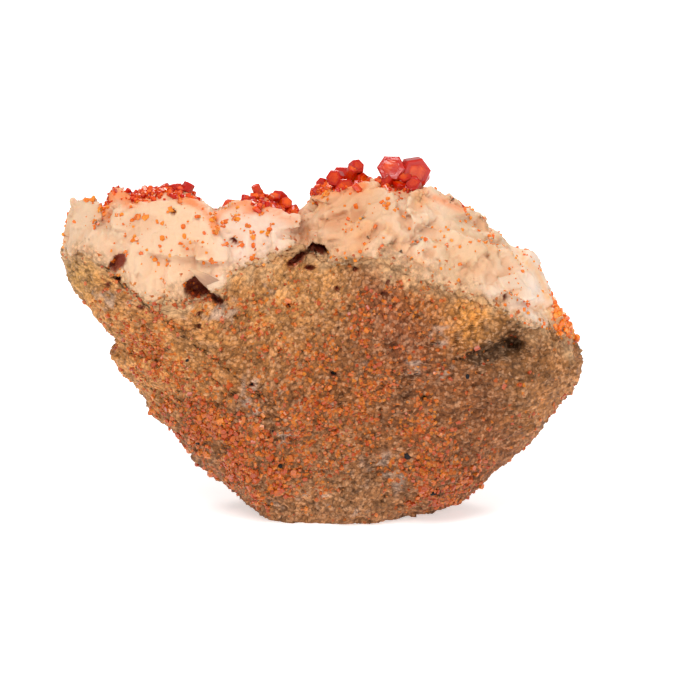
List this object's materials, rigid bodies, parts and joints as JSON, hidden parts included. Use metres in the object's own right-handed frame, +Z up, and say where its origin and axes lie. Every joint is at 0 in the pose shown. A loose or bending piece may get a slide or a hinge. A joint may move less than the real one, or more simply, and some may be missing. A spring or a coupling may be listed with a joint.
{
  "type": "vanadinite on matrix",
  "caption": "Hand-sized mineral specimen: glossy red-orange vanadinite crystals on pale pink bladed barite over brown iron-stained matrix rock.",
  "frame": {"origin": "middle of the specimen's length and depth, on the surface that it rests on", "axes": "+X along the specimen's length, to the right as seen from its broken brown side; -Y out of the broken side; +Y out of the crystal side; +Z up"},
  "size_m": [0.0653, 0.0336, 0.0454],
  "materials": {
    "matrix_rock": "matte",
    "barite": "satin",
    "vanadinite": "gloss"
  },
  "bodies": {
    "root": {"matrix_rock": "matrix_rock", "barite_crust": "barite", "vanadinite_centre_spray": "vanadinite", "vanadinite_far_left_pair": "vanadinite", "vanadinite_far_left_rosette": "vanadinite", "vanadinite_far_lower_left": "vanadinite", "vanadinite_far_middle_low": "vanadinite", "vanadinite_far_middle_rosette": "vanadinite", "vanadinite_far_right_crest": "vanadinite", "vanadinite_far_right_pair": "vanadinite", "vanadinite_far_right_rosette": "vanadinite", "vanadinite_far_right_tip": "vanadinite", "vanadinite_far_top_rosette": "vanadinite", "vanadinite_far_upper_left": "vanadinite", "vanadinite_left_crest": "vanadinite", "vanadinite_left_tip": "vanadinite", "vanadinite_right_edge": "vanadinite", "vanadinite_saddle_cluster": "vanadinite", "vanadinite_twin_crystals": "vanadinite"}
  },
  "joints": []
}
